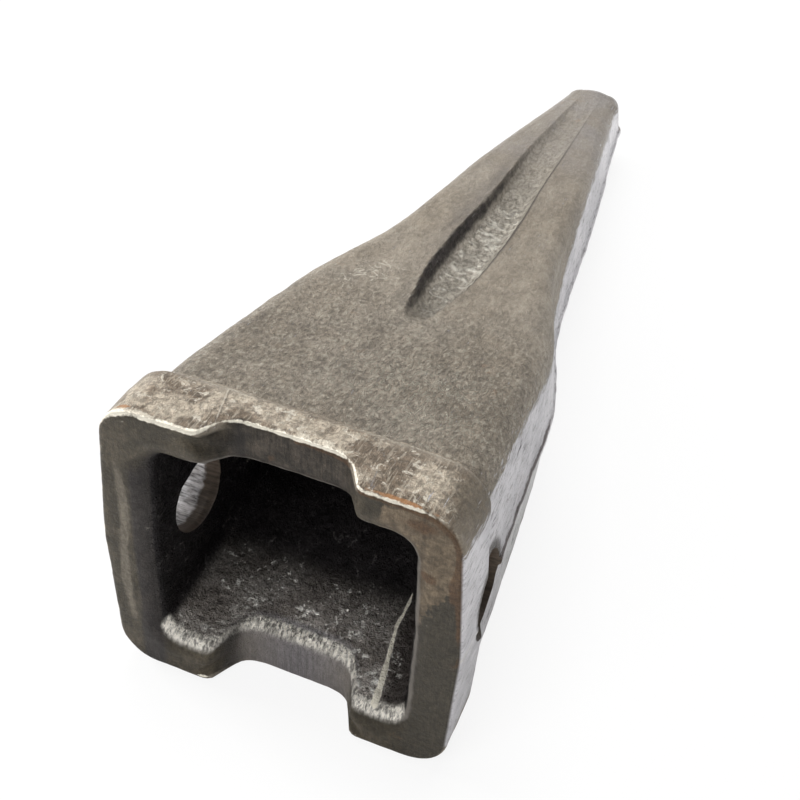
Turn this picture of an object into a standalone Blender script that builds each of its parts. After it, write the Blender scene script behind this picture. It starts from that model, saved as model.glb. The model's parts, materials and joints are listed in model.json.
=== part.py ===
"""Bucket tooth of a mid-size excavator: one hollow steel forging with a rock-chisel blade.

The tooth is lofted in its own frame: Y runs from the mouth (0) to the tip, X across and Z up,
and the dies parted at Z = 0. Skin, rim and pocket are one run of rings: they start at the tip,
come back over the blade, the socket and the collar, turn round the rim and go down the pocket.
An empty then lays the finished tooth down the way it rests on a floor, on its collar and its tip.
Lengths are in metres and angles in degrees.
"""

import math

import bmesh
import bpy
from mathutils import Matrix, Vector

TOOTH_LENGTH = 0.267

# Sections of the bare body: distance from the mouth, full width, full height, corner radius
MOUTH_WIDTH = 0.0985
MOUTH_HEIGHT = 0.0900
MOUTH_CORNER = 0.0115
ROOT_AT = 0.026
ROOT_WIDTH = 0.0965
ROOT_HEIGHT = 0.0832
ROOT_CORNER = 0.0110
NECK_AT = 0.060
NECK_WIDTH = 0.0895
NECK_HEIGHT = 0.0720
NECK_CORNER = 0.0095
SHOULDER_AT = 0.095
SHOULDER_WIDTH = 0.0828
SHOULDER_HEIGHT = 0.0618
SHOULDER_CORNER = 0.0098
WAIST_AT = 0.134
WAIST_WIDTH = 0.0600
WAIST_HEIGHT = 0.0540
WAIST_CORNER = 0.0060
BLADE_AT = 0.193
BLADE_WIDTH = 0.0435
BLADE_HEIGHT = 0.0430
BLADE_CORNER = 0.0050
TIP_WIDTH = 0.0225
TIP_HEIGHT = 0.0295
TIP_CORNER = 0.0048
NOSE_LENGTH = 0.009
NOSE_BLUNTNESS = 2.6

SOCKET_DRAFT = 3.2
BLADE_DRAFT = 8.0
SOCKET_CROWN = 0.0004
BLADE_CROWN = 0.0008

# Raised collar around the mouth, higher at its crest above and below
COLLAR_LENGTH = 0.0245
COLLAR_FRONT = 0.0060
COLLAR_RISE = 0.0020
COLLAR_CREST_RISE = 0.0032
COLLAR_CREST_AT = 0.0130

# Trimmed flash line along both sides
FLASH_WIDTH = 0.0034
FLASH_RISE = 0.0009

# Leaf-shaped trough down the blade, above and below
TROUGH_START = 0.079
TROUGH_END = 0.256
TROUGH_WIDTH = 0.0165
TROUGH_DEPTH = 0.0052
TROUGH_RAMP = 0.026
TROUGH_RUNOUT = 0.070
TROUGH_STEEPNESS = 3
# Outline of the leaf: share of its length from the rear, share of its full width
TROUGH_LEAF = ((0.0, 0.35), (0.10, 0.75), (0.28, 1.0), (0.42, 0.88), (0.68, 0.66), (1.0, 0.42))

# Pocket for the adapter's nose: a straight land at the mouth, then a steeper taper
POCKET_WIDTH = 0.0738
POCKET_HEIGHT = 0.0680
POCKET_CORNER = 0.0060
POCKET_DRAFT = 1.5
LAND_LENGTH = 0.034
LAND_WIDTH = 0.0702
LAND_HEIGHT = 0.0560
LAND_BLEND = 0.0015
POCKET_DEPTH = 0.088
POCKET_END_WIDTH = 0.0620
POCKET_END_HEIGHT = 0.0230
POCKET_END_RADIUS = 0.0050

# Rim
RIM_OUTER_RADIUS = 0.0016
RIM_INNER_RADIUS = 0.0055

# Notches in the middle of the rim, above and below
UPPER_NOTCH_DEPTH = 0.0093
LOWER_NOTCH_DEPTH = 0.0120
NOTCH_FLOOR_WIDTH = 0.0290
NOTCH_MOUTH_WIDTH = 0.0450
NOTCH_HOLD = 0.0060
NOTCH_FADE = 0.0180

# Cross pin hole through both side walls
PIN_HOLE_DIAMETER = 0.0225
PIN_HOLE_AT = 0.0240
PIN_HOLE_OVERRUN = 0.004
PIN_HOLE_SEGMENTS = 40

# Spacing of the rings and points of the loft
BODY_RING_PITCH = 0.0078
COLLAR_RING_PITCH = 0.0026
POCKET_RING_PITCH = 0.0090
NOSE_RINGS = 6
RIM_ARC_STEPS = 3
CORNER_STEPS = 4
POCKET_END_STEPS = 2
SMOOTH_ANGLE = 32.0
# Where the columns of points stand on the flats, as shares of the notch, the trough and the rest
NOTCH_FLOOR_COLUMNS = (0.0, 0.6, 1.0)
NOTCH_FLANK_COLUMNS = (0.3, 0.5, 0.7, 1.0)
TROUGH_COLUMNS = (0.0, 0.45, 0.8, 1.0, 1.25)
FLAT_COLUMNS = (0.33, 0.67, 1.0)
TROUGH_COLUMN_REACH = 0.6
RESTING_TRIES = 6

STEEL_COLOUR = (0.105, 0.098, 0.088, 1.0)
STEEL_ROUGHNESS = 0.55
STEEL_METALLIC = 0.75


def clear_scene():
    for item in list(bpy.data.objects):
        bpy.data.objects.remove(item, do_unlink=True)


def collection(name):
    group = bpy.data.collections.new(name)
    bpy.context.scene.collection.children.link(group)
    return group


def forged_steel():
    material = bpy.data.materials.new("forged_steel")
    material.use_nodes = True
    shader = material.node_tree.nodes["Principled BSDF"]
    shader.inputs["Base Color"].default_value = STEEL_COLOUR
    shader.inputs["Roughness"].default_value = STEEL_ROUGHNESS
    shader.inputs["Metallic"].default_value = STEEL_METALLIC
    return material


def ease(value, low, high):
    """0 below low, 1 above high and an S-curve between."""
    t = min(max((value - low) / (high - low), 0.0), 1.0)
    return t * t * (3.0 - 2.0 * t)


def mix(first, second, share):
    return first + (second - first) * share


def line(stations, at):
    """Straight runs between (distance, value) stations."""
    for (low, first), (high, second) in zip(stations, stations[1:]):
        if at <= high:
            return mix(first, second, max(at - low, 0.0) / (high - low))
    return stations[-1][1]


def curve(stations, at):
    """Smooth run through (distance, value) stations that never overshoots one."""
    slopes = [(b[1] - a[1]) / (b[0] - a[0]) for a, b in zip(stations, stations[1:])]
    tangents = [slopes[0]]
    for before, after in zip(slopes, slopes[1:]):
        together = before * after > 0.0
        tangents.append(2.0 * before * after / (before + after) if together else 0.0)
    tangents.append(slopes[-1])
    at = min(max(at, stations[0][0]), stations[-1][0])
    for index, (low, high) in enumerate(zip(stations, stations[1:])):
        if at <= high[0]:
            run = high[0] - low[0]
            t = (at - low[0]) / run
            start = (1.0 + 2.0 * t) * (1.0 - t) ** 2 * low[1]
            end = t * t * (3.0 - 2.0 * t) * high[1]
            leave = t * (1.0 - t) ** 2 * run * tangents[index]
            arrive = t * t * (t - 1.0) * run * tangents[index + 1]
            return start + end + leave + arrive
    return stations[-1][1]


NOSE_AT = TOOTH_LENGTH - NOSE_LENGTH
BODY_AT = (0.0, ROOT_AT, NECK_AT, SHOULDER_AT, WAIST_AT, BLADE_AT, NOSE_AT)
BODY_WIDTHS = (MOUTH_WIDTH, ROOT_WIDTH, NECK_WIDTH, SHOULDER_WIDTH, WAIST_WIDTH, BLADE_WIDTH,
               TIP_WIDTH)
BODY_HEIGHTS = (MOUTH_HEIGHT, ROOT_HEIGHT, NECK_HEIGHT, SHOULDER_HEIGHT, WAIST_HEIGHT,
                BLADE_HEIGHT, TIP_HEIGHT)
BODY_CORNERS = (MOUTH_CORNER, ROOT_CORNER, NECK_CORNER, SHOULDER_CORNER, WAIST_CORNER,
                BLADE_CORNER, TIP_CORNER)


def trough_half_width(y):
    length = TROUGH_END - TROUGH_START
    stations = [(TROUGH_START + share * length, width) for share, width in TROUGH_LEAF]
    return curve(stations, y) * TROUGH_WIDTH / 2.0


def trough_depth(x, y):
    """How far the trough sinks the skin: a round floor between steep walls."""
    rise = ease(y, TROUGH_START, TROUGH_START + TROUGH_RAMP)
    fall = 1.0 - ease(y, TROUGH_END - TROUGH_RUNOUT, TROUGH_END)
    across = min(abs(x) / trough_half_width(y), 1.0)
    return TROUGH_DEPTH * rise * fall * (1.0 - across ** TROUGH_STEEPNESS)


def notch_shift(x, y, depth):
    """How far a notch of the rim pushes a point of the loft towards the tip."""
    ramp = 1.0 - ease(abs(x), NOTCH_FLOOR_WIDTH / 2.0, NOTCH_MOUTH_WIDTH / 2.0)
    fade = 1.0 - ease(y, NOTCH_HOLD, NOTCH_HOLD + NOTCH_FADE)
    return depth * ramp * fade


def columns(corner_start, y):
    """X of the points across a flat, dense where the notch or the trough needs them."""
    floor = NOTCH_FLOOR_WIDTH / 2.0
    mouth = NOTCH_MOUTH_WIDTH / 2.0
    at_rim = [floor * share for share in NOTCH_FLOOR_COLUMNS]
    at_rim += [mix(floor, mouth, share) for share in NOTCH_FLANK_COLUMNS]
    at_rim.append(corner_start)
    edge = min(trough_half_width(y), corner_start * TROUGH_COLUMN_REACH)
    at_blade = [edge * share for share in TROUGH_COLUMNS]
    at_blade += [mix(at_blade[-1], corner_start, share) for share in FLAT_COLUMNS]
    forward = ease(y, LAND_LENGTH, SHOULDER_AT)
    return [mix(rim, blade, forward) for rim, blade in zip(at_rim, at_blade)]


def quarter(half_width, half_height, corner, draft, crown, flash, y):
    """One quarter of a section, from the middle of the top to the middle of the side."""
    lean = math.radians(draft)
    centre_z = half_height - crown - corner
    side_top = centre_z + corner * math.sin(lean)
    centre_x = half_width - corner * math.cos(lean) - side_top * math.tan(lean)
    points = []
    for x in columns(centre_x, y):
        points.append((x, half_height - crown * (x / centre_x) ** 2))
    for step in range(1, CORNER_STEPS + 1):
        angle = mix(math.pi / 2.0, lean, step / CORNER_STEPS)
        points.append((centre_x + corner * math.cos(angle), centre_z + corner * math.sin(angle)))
    flash_foot = min(FLASH_WIDTH / 2.0, side_top / 2.0)
    for z, proud in ((mix(side_top, flash_foot, 0.5), 0.0), (flash_foot, 0.0),
                     (flash_foot / 2.0, flash), (0.0, flash)):
        points.append((half_width - z * math.tan(lean) + proud, z))
    return points


def skin(y, inset=0.0):
    """Outer quarter section at a distance from the mouth, pulled in by an inset."""
    half_width = curve(list(zip(BODY_AT, BODY_WIDTHS)), y) / 2.0
    half_height = curve(list(zip(BODY_AT, BODY_HEIGHTS)), y) / 2.0
    corner = curve(list(zip(BODY_AT, BODY_CORNERS)), y)
    forward = ease(y, NECK_AT, WAIST_AT)
    draft = mix(SOCKET_DRAFT, BLADE_DRAFT, forward)
    crown = mix(SOCKET_CROWN, BLADE_CROWN, forward)
    front = 1.0 - ease(y, COLLAR_LENGTH - COLLAR_FRONT, COLLAR_LENGTH)
    side_rise = front * COLLAR_RISE
    top_rise = front * mix(COLLAR_RISE, COLLAR_CREST_RISE, ease(y, 0.0, COLLAR_CREST_AT))
    flash = FLASH_RISE * ease(y, 0.0, COLLAR_LENGTH)
    points = quarter(half_width + side_rise - inset, half_height + top_rise - inset,
                     corner - inset, draft, crown, flash, y)
    return [(x, z - trough_depth(x, y)) for x, z in points]


def nose(share):
    """Quarter section of the rounded nose, at a share of its length."""
    scale = (1.0 - share ** NOSE_BLUNTNESS) ** (1.0 / NOSE_BLUNTNESS)
    return [(x * scale, z * scale) for x, z in skin(NOSE_AT)]


def pocket(y, outset=0.0):
    """Inner quarter section at a distance from the mouth, pushed out by an outset."""
    depths = (0.0, LAND_LENGTH - LAND_BLEND, LAND_LENGTH + LAND_BLEND, POCKET_DEPTH)
    share = LAND_BLEND / (POCKET_DEPTH - LAND_LENGTH)
    widths = (POCKET_WIDTH, LAND_WIDTH, mix(LAND_WIDTH, POCKET_END_WIDTH, share), POCKET_END_WIDTH)
    heights = (POCKET_HEIGHT, LAND_HEIGHT, mix(LAND_HEIGHT, POCKET_END_HEIGHT, share),
               POCKET_END_HEIGHT)
    half_width = line(list(zip(depths, widths)), y) / 2.0
    half_height = line(list(zip(depths, heights)), y) / 2.0
    return quarter(half_width + outset, half_height + outset, POCKET_CORNER + outset,
                   POCKET_DRAFT, 0.0, 0.0, y)


def notched(section, y, depth):
    """Points of a quarter section with a notch pressed in."""
    points = []
    for index, (x, z) in enumerate(section(y)):
        here = y + notch_shift(x, y, depth)
        if here > y:
            x, z = section(here)[index]
        points.append(Vector((x, here, z)))
    return points


def ring(section, y):
    """Closed loop of points around a section, with both notches."""
    upper = notched(section, y, UPPER_NOTCH_DEPTH)
    lower = notched(section, y, LOWER_NOTCH_DEPTH)
    loop = list(upper)
    loop += [Vector((p.x, p.y, -p.z)) for p in lower[-2::-1]]
    loop += [Vector((-p.x, p.y, -p.z)) for p in lower[1:]]
    loop += [Vector((-p.x, p.y, p.z)) for p in upper[-2:0:-1]]
    return loop


def spread(start, end, pitch):
    """Even steps from start to end, both included, no wider than the pitch."""
    steps = max(math.ceil(abs(end - start) / pitch), 1)
    return [mix(start, end, step / steps) for step in range(steps + 1)]


def nose_rings():
    """Rings of the rounded nose, from near the tip back to the blade."""
    loops = []
    for step in range(1, NOSE_RINGS):
        share = math.cos(math.pi / 2.0 * step / NOSE_RINGS)
        points = nose(share)
        loops.append(ring(lambda y, points=points: points, mix(NOSE_AT, TOOTH_LENGTH, share)))
    return loops


def body_rings():
    """Rings of the blade, the socket and the collar, back to where the rim starts to round."""
    places = spread(NOSE_AT, COLLAR_LENGTH, BODY_RING_PITCH)
    places += spread(COLLAR_LENGTH, RIM_OUTER_RADIUS, COLLAR_RING_PITCH)[1:]
    return [ring(skin, y) for y in places]


def rim_rings():
    """Rings round the outer edge of the rim, over its flat land and round the inner edge."""
    loops = []
    for step in range(1, RIM_ARC_STEPS + 1):
        angle = math.pi / 2.0 * step / RIM_ARC_STEPS
        inset = RIM_OUTER_RADIUS * (1.0 - math.cos(angle))
        y = RIM_OUTER_RADIUS * (1.0 - math.sin(angle))
        loops.append(ring(lambda at, inset=inset: skin(at, inset), y))
    for step in range(RIM_ARC_STEPS, -1, -1):
        angle = math.pi / 2.0 * step / RIM_ARC_STEPS
        outset = RIM_INNER_RADIUS * (1.0 - math.cos(angle))
        y = RIM_INNER_RADIUS * (1.0 - math.sin(angle))
        loops.append(ring(lambda at, outset=outset: pocket(at, outset), y))
    return loops


def pocket_rings():
    """Rings down the pocket's land and taper, and round the edge of its end wall."""
    places = spread(RIM_INNER_RADIUS, LAND_LENGTH - LAND_BLEND, POCKET_RING_PITCH)[1:]
    places += spread(LAND_LENGTH + LAND_BLEND, POCKET_DEPTH - POCKET_END_RADIUS, POCKET_RING_PITCH)
    loops = [ring(pocket, y) for y in places]
    for step in range(1, POCKET_END_STEPS + 1):
        angle = math.pi / 2.0 * step / POCKET_END_STEPS
        inset = POCKET_END_RADIUS * (1.0 - math.cos(angle))
        y = POCKET_DEPTH - POCKET_END_RADIUS * (1.0 - math.sin(angle))
        loops.append(ring(lambda at, inset=inset: pocket(at, -inset), y))
    return loops


def loft(name, loops, start, end):
    """Closed mesh through loops of equal length, closed by a point at each end."""
    shape = bmesh.new()
    rows = [[shape.verts.new(point) for point in loop] for loop in loops]
    for row, after in zip(rows, rows[1:]):
        for index, vertex in enumerate(row):
            following = (index + 1) % len(row)
            shape.faces.new((vertex, after[index], after[following], row[following]))
    for row, point in ((rows[0], start), (rows[-1], end)):
        pole = shape.verts.new(point)
        for index, vertex in enumerate(row):
            shape.faces.new((vertex, row[(index + 1) % len(row)], pole))
    bmesh.ops.recalc_face_normals(shape, faces=shape.faces)
    mesh = bpy.data.meshes.new(name)
    shape.to_mesh(mesh)
    shape.free()
    return mesh


def tooth_mesh():
    loops = nose_rings() + body_rings() + rim_rings() + pocket_rings()
    tip = Vector((0.0, TOOTH_LENGTH, 0.0))
    pocket_end = Vector((0.0, POCKET_DEPTH, 0.0))
    return loft("tooth", loops, tip, pocket_end)


def pin_hole_cutter(group):
    """Cylinder across both side walls."""
    shape = bmesh.new()
    length = MOUTH_WIDTH + 2.0 * (COLLAR_RISE + FLASH_RISE + PIN_HOLE_OVERRUN)
    radius = PIN_HOLE_DIAMETER / 2.0
    turn = Matrix.Rotation(math.pi / 2.0, 4, "Y")
    bmesh.ops.create_cone(shape, cap_ends=True, segments=PIN_HOLE_SEGMENTS, radius1=radius,
                          radius2=radius, depth=length, matrix=turn)
    mesh = bpy.data.meshes.new("pin_hole_cutter")
    shape.to_mesh(mesh)
    shape.free()
    cutter = bpy.data.objects.new("pin_hole_cutter", mesh)
    cutter.location.y = PIN_HOLE_AT
    cutter.hide_render = True
    cutter.display_type = "WIRE"
    group.objects.link(cutter)
    return cutter


def resting_slope(points):
    """Slope of the line under the tooth that touches its collar and its blade."""
    middle = TOOTH_LENGTH / 2.0
    slope = 0.0
    for attempt in range(RESTING_TRIES):
        heel = min((p for p in points if p.y < middle), key=lambda p: p.z - slope * p.y)
        toe = min((p for p in points if p.y > middle), key=lambda p: p.z - slope * p.y)
        slope = (toe.z - heel.z) / (toe.y - heel.y)
    return slope


def resting_matrix(points):
    """Turns the tooth nose-down onto the floor and centres it over the origin."""
    turn = Matrix.Rotation(-math.atan(resting_slope(points)), 4, "X")
    laid = [turn @ point for point in points]
    along = [point.y for point in laid]
    floor = min(point.z for point in laid)
    return Matrix.Translation((0.0, -(min(along) + max(along)) / 2.0, -floor)) @ turn


def build():
    clear_scene()
    parts = collection("bucket_tooth")
    cutters = collection("cutters")

    mesh = tooth_mesh()
    mesh.materials.append(forged_steel())
    tooth = bpy.data.objects.new("tooth", mesh)
    parts.objects.link(tooth)
    cutter = pin_hole_cutter(cutters)

    rest = bpy.data.objects.new("rest_pose", None)
    rest.matrix_world = resting_matrix([vertex.co for vertex in mesh.vertices])
    parts.objects.link(rest)
    tooth.parent = rest
    cutter.parent = rest

    bore = tooth.modifiers.new("pin_hole", "BOOLEAN")
    bore.operation = "DIFFERENCE"
    bore.solver = "EXACT"
    bore.object = cutter

    mesh.shade_smooth()
    mesh.set_sharp_from_angle(angle=math.radians(SMOOTH_ANGLE))


build()
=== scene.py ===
"""Looks of the bucket tooth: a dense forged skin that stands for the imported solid.

The skin is lofted in the tooth's own frame (Y from the mouth to the tip, X across, Z up), its
surface is pushed in and out by seeded noise, and the record's mounts say how the tooth lies.
Lengths are in millimetres in that frame, and in metres where the tooth lies on the floor.
"""

import json
import math
from types import SimpleNamespace

import bmesh
import bpy
import numpy as np
from mathutils import Matrix, Vector, kdtree


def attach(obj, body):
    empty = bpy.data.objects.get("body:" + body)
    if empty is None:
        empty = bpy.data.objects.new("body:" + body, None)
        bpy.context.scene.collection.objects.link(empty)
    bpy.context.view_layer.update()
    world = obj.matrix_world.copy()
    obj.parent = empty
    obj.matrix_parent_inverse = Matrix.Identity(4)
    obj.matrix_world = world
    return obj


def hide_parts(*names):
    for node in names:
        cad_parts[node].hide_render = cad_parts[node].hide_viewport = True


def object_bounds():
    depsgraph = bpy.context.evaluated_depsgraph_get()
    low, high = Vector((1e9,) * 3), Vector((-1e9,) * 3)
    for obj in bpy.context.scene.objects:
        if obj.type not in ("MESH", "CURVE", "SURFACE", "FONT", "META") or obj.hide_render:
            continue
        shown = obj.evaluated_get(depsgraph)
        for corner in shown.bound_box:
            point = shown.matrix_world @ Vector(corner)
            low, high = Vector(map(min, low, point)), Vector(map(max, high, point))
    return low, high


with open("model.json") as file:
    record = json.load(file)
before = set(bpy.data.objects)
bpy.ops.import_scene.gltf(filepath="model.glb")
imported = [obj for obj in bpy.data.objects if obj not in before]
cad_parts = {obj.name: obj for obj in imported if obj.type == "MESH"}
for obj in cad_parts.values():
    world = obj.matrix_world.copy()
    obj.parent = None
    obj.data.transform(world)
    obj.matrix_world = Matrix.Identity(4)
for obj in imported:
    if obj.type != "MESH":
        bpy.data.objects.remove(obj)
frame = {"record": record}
cad_low, cad_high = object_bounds()

MM = 0.001

# Forms of the forging, with drafts in degrees
LENGTH = 267.0
NOSE_AT = 258.0
BODY_AT = (0.0, 26.0, 60.0, 95.0, 134.0, 193.0, NOSE_AT)
BODY_WIDTH = (98.5, 96.5, 89.5, 82.8, 60.0, 43.5, 22.5)
BODY_HEIGHT = (90.0, 83.2, 72.0, 61.8, 54.0, 43.0, 29.5)
BODY_CORNER = (11.5, 11.0, 9.5, 9.8, 6.0, 5.0, 4.8)
# Draft and crown at the collar, and what they gain from the shoulder to the waist
BODY_DRAFT = (3.2, 4.8)
BODY_CROWN = (0.4, 0.4)
SHOULDER_AT = 60.0
WAIST_AT = 134.0
NOSE_BLUNTNESS = 2.6
COLLAR_LENGTH = 24.5
COLLAR_FRONT = 6.0
COLLAR_RISE = 2.0
COLLAR_CREST_RISE = 3.2
COLLAR_CREST_AT = 13.0
FLASH_WIDTH = 3.4
FLASH_RISE = 0.9
TROUGH_DEPTH = 6.2
# Edges of the upper trough: distance from the mouth, x of the left edge, x of the right edge
TROUGH_AT = (79.0, 85.0, 98.0, 111.0, 123.0, 136.0, 151.0, 165.0, 182.0, 201.0, 223.0, 242.0, 258.0)
TROUGH_LEFT = (-0.4, -2.3, -4.1, -5.8, -6.2, -6.3, -5.8, -5.3, -5.4, -5.7, -4.8, -4.2, -3.2)
TROUGH_RIGHT = (3.6, 5.5, 7.4, 9.1, 9.6, 9.6, 9.2, 8.3, 7.3, 6.7, 5.5, 4.4, 3.4)
POCKET_DEPTH = 88.0
# Size of the pocket at its mouth, where the land ends, and at its end
POCKET_WIDTH = (73.8, 70.2, 62.0)
POCKET_HEIGHT = (68.0, 56.0, 23.0)
POCKET_DRAFT = 1.5
POCKET_CORNER = 6.0
POCKET_END_ROUND = 5.0
LAND_LENGTH = 34.0
LAND_BLEND = 1.5
RIM_OUTER = 1.6
RIM_INNER = 5.5
UPPER_NOTCH = 9.3
LOWER_NOTCH = 12.0
# Share of a notch's depth against the distance from the middle
NOTCH_OUT = (0.0, 9.0, 12.7, 15.0, 17.1, 18.4, 19.6, 20.6, 21.6, 23.5)
NOTCH_SHARE = (1.0, 0.995, 0.965, 0.9, 0.76, 0.56, 0.36, 0.16, 0.05, 0.0)
NOTCH_HOLD = 6.0
NOTCH_FADE = 18.0
HOLE_AT = 24.0
HOLE_RADIUS = 11.25
# Bore: x and how much wider than the hole, a small bevel on the left and a worn mouth on the right
BORE_PROFILE = ((-60.0, 0.6), (-50.6, 0.6), (-49.9, 0.0), (-36.6, 0.0), (-35.9, 0.2), (35.9, 0.2),
                (36.6, 0.0), (45.5, 0.0), (47.5, 0.5), (50.0, 1.3), (60.0, 1.3))
BORE_POINTS = 96
BORE_PITCH = 0.9
# Depth of the grooves and their turn for every millimetre
GROOVE = (0.05, 2.1)

# Relief of the skin, first the powers of the trough's two walls
TROUGH_STEEP = 4.2
TROUGH_GENTLE = 3.6
CREST_RISE = 0.75
RIPPLE_RISE = 0.35
LIP_RISE = 0.12
SWELL_RISE = 0.14
HAMMER_RISE = 0.16
SCALE_RISE = 0.1
DENT_DEPTH = 0.22
BURR_RISE = 1.1
PIT_DEPTH = 0.5
BACK_RISE = 0.35
SEAM_RISE = 0.35
# Seam along the socket's floor: distance from the mouth and x, then distance and half its width
SEAM_AT = (0.0, 6.0, 16.0, 27.0, 40.0)
SEAM_X = (27.4, 27.1, 25.4, 23.2, 23.6)
SEAM_REACH_AT = (0.0, 6.0, 16.0, 40.0)
SEAM_REACH = (1.5, 1.4, 0.9, 0.6)
# Distance from the mouth, and the height under which the side walls are bare and bright
BARE_AT = (0, 18, 32, 51, 68, 89, 100, 110, 122, 140, 160, 190, 210, 240, 260)
BARE_UNDER = (36.5, 34.5, 32.5, 29.5, 26, 20, 18.5, 15, 9, 9, 13.2, 15.5, 14.8, 11.8, 11.5)

# Points of one quarter of a ring: flat, corner, side wall, flash
FLAT_STEPS = 34
CORNER_STEPS = 12
SIDE_STEPS = 27
FLASH_STEPS = 7
QUARTER = FLAT_STEPS + CORNER_STEPS + SIDE_STEPS + FLASH_STEPS
# Rings of the rounded nose, and of the rim's outer edge, front and inner edge
NOSE_RINGS = 12
OUTER_RINGS = 7
FRONT_RINGS = 7
INNER_RINGS = 8
# In degrees
SHARP_ANGLE = 48.0


def ease(value, low, high):
    """0 below low, 1 above high and an S-curve between."""
    t = np.clip((value - low) / (high - low), 0.0, 1.0)
    return t * t * (3.0 - 2.0 * t)


def fade(value, start, end):
    """1 below start, 0 above end and an S-curve between."""
    return 1.0 - ease(value, start, end)


def bump(value, middle, reach):
    """1 at the middle, falling to 0 at the reach on either side."""
    return fade(np.abs(value - middle), 0.0, reach)


def curve(stations, values, at):
    """Smooth run through stations that never overshoots one."""
    xs, ys = np.asarray(stations, float), np.asarray(values, float)
    slope = np.diff(ys) / np.diff(xs)
    tangent = np.concatenate(([slope[0]], np.zeros(len(xs) - 2), [slope[-1]]))
    for i in range(1, len(xs) - 1):
        if slope[i - 1] * slope[i] > 0.0:
            tangent[i] = 2.0 * slope[i - 1] * slope[i] / (slope[i - 1] + slope[i])
    at = np.clip(at, xs[0], xs[-1])
    i = np.clip(np.searchsorted(xs, at, side="right") - 1, 0, len(xs) - 2)
    run = xs[i + 1] - xs[i]
    t = (at - xs[i]) / run
    return ((1 + 2 * t) * (1 - t) ** 2 * ys[i] + t * t * (3 - 2 * t) * ys[i + 1]
            + t * (1 - t) ** 2 * run * tangent[i] + t * t * (t - 1) * run * tangent[i + 1])


def value_noise(points, seed):
    """Smooth noise from -1 to 1 over a lattice of unit cells."""
    cell = np.floor(points).astype(np.int64)
    f = points - cell
    f = f * f * f * (f * (f * 6.0 - 15.0) + 10.0)
    total = np.zeros(len(points))
    for corner in range(8):
        dx, dy, dz = corner & 1, corner >> 1 & 1, corner >> 2 & 1
        n = ((cell[:, 0] + dx) * 374761393 + (cell[:, 1] + dy) * 668265263
             + (cell[:, 2] + dz) * 1274126177 + seed * 362437) & 0xFFFFFFFF
        n = ((n ^ (n >> 13)) * 1274126177) & 0xFFFFFFFF
        n = (n ^ (n >> 16)) & 0xFFFF
        weight = ((f[:, 0] if dx else 1 - f[:, 0]) * (f[:, 1] if dy else 1 - f[:, 1])
                  * (f[:, 2] if dz else 1 - f[:, 2]))
        total += weight * (n / 32767.5 - 1.0)
    return total


TWIST = np.array(Matrix.Rotation(0.7, 3, "X") @ Matrix.Rotation(1.1, 3, "Z"))


def noise(points, size, seed, octaves=3, stretch=None):
    """Layered noise whose largest lumps have the given size; stretch draws them out by axis."""
    if stretch is None:
        p = (points / size) @ TWIST.T
    else:
        p = points / (size * np.asarray(stretch))
    total = np.zeros(len(p))
    gain = 1.0
    weight = 0.0
    for octave in range(octaves):
        total += gain * value_noise(p, seed + 17 * octave)
        weight += gain
        gain *= 0.5
        p = (p * 2.03) @ TWIST.T
    return total / weight * 1.6


# Sections

def quarter(half_width, half_height, corner, draft, crown, flash):
    """Quarter sections, one a row of the arrays given: x and z of QUARTER + 1 points."""
    lean = np.radians(draft)
    centre_z = half_height - crown - corner
    side_top = centre_z + corner * np.sin(lean)
    centre_x = half_width - corner * np.cos(lean) - side_top * np.tan(lean)
    k = np.arange(QUARTER + 1)[None, :]
    share = np.clip(k / FLAT_STEPS, 0.0, 1.0)
    flat_x, flat_z = centre_x * share, half_height - crown * share ** 2
    turn = np.pi / 2 + (lean - np.pi / 2) * np.clip((k - FLAT_STEPS) / CORNER_STEPS, 0.0, 1.0)
    arc_x, arc_z = centre_x + corner * np.cos(turn), centre_z + corner * np.sin(turn)
    foot = np.minimum(FLASH_WIDTH / 2 + 0.6, side_top / 2)
    down = np.clip((k - FLAT_STEPS - CORNER_STEPS) / SIDE_STEPS, 0.0, 1.0)
    last = np.clip((k - FLAT_STEPS - CORNER_STEPS - SIDE_STEPS) / FLASH_STEPS, 0.0, 1.0)
    side_z = side_top + (foot - side_top) * down - foot * last
    proud = flash * fade(side_z, FLASH_WIDTH * 0.22, FLASH_WIDTH * 0.5)
    side_x = half_width - side_z * np.tan(lean) + proud
    flat = k <= FLAT_STEPS
    arc = k <= FLAT_STEPS + CORNER_STEPS
    return (np.where(flat, flat_x, np.where(arc, arc_x, side_x)),
            np.where(flat, flat_z, np.where(arc, arc_z, side_z)))


def skin(y, inset):
    """Outer quarter sections at distances from the mouth, pulled in by an inset."""
    forward = ease(y, SHOULDER_AT, WAIST_AT)
    front = fade(y, COLLAR_LENGTH - COLLAR_FRONT, COLLAR_LENGTH)
    top = front * (COLLAR_RISE + (COLLAR_CREST_RISE - COLLAR_RISE) * ease(y, 0.0, COLLAR_CREST_AT))
    return quarter(curve(BODY_AT, BODY_WIDTH, y) / 2 + front * COLLAR_RISE - inset,
                   curve(BODY_AT, BODY_HEIGHT, y) / 2 + top - inset,
                   curve(BODY_AT, BODY_CORNER, y) - inset,
                   BODY_DRAFT[0] + BODY_DRAFT[1] * forward, BODY_CROWN[0] + BODY_CROWN[1] * forward,
                   FLASH_RISE * ease(y, 0.0, COLLAR_LENGTH))


def pocket(y, outset):
    """Inner quarter sections, pushed out by an outset."""
    at = (0.0, LAND_LENGTH - LAND_BLEND, LAND_LENGTH + LAND_BLEND, POCKET_DEPTH)
    share = LAND_BLEND / (POCKET_DEPTH - LAND_LENGTH)

    def across(mouth, land, end):
        return np.interp(y, at, (mouth, land, land + (end - land) * share, end)) / 2 + outset

    return quarter(across(*POCKET_WIDTH), across(*POCKET_HEIGHT), POCKET_CORNER + outset,
                   np.full_like(y, POCKET_DRAFT), np.zeros_like(y), np.zeros_like(y))


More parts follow.
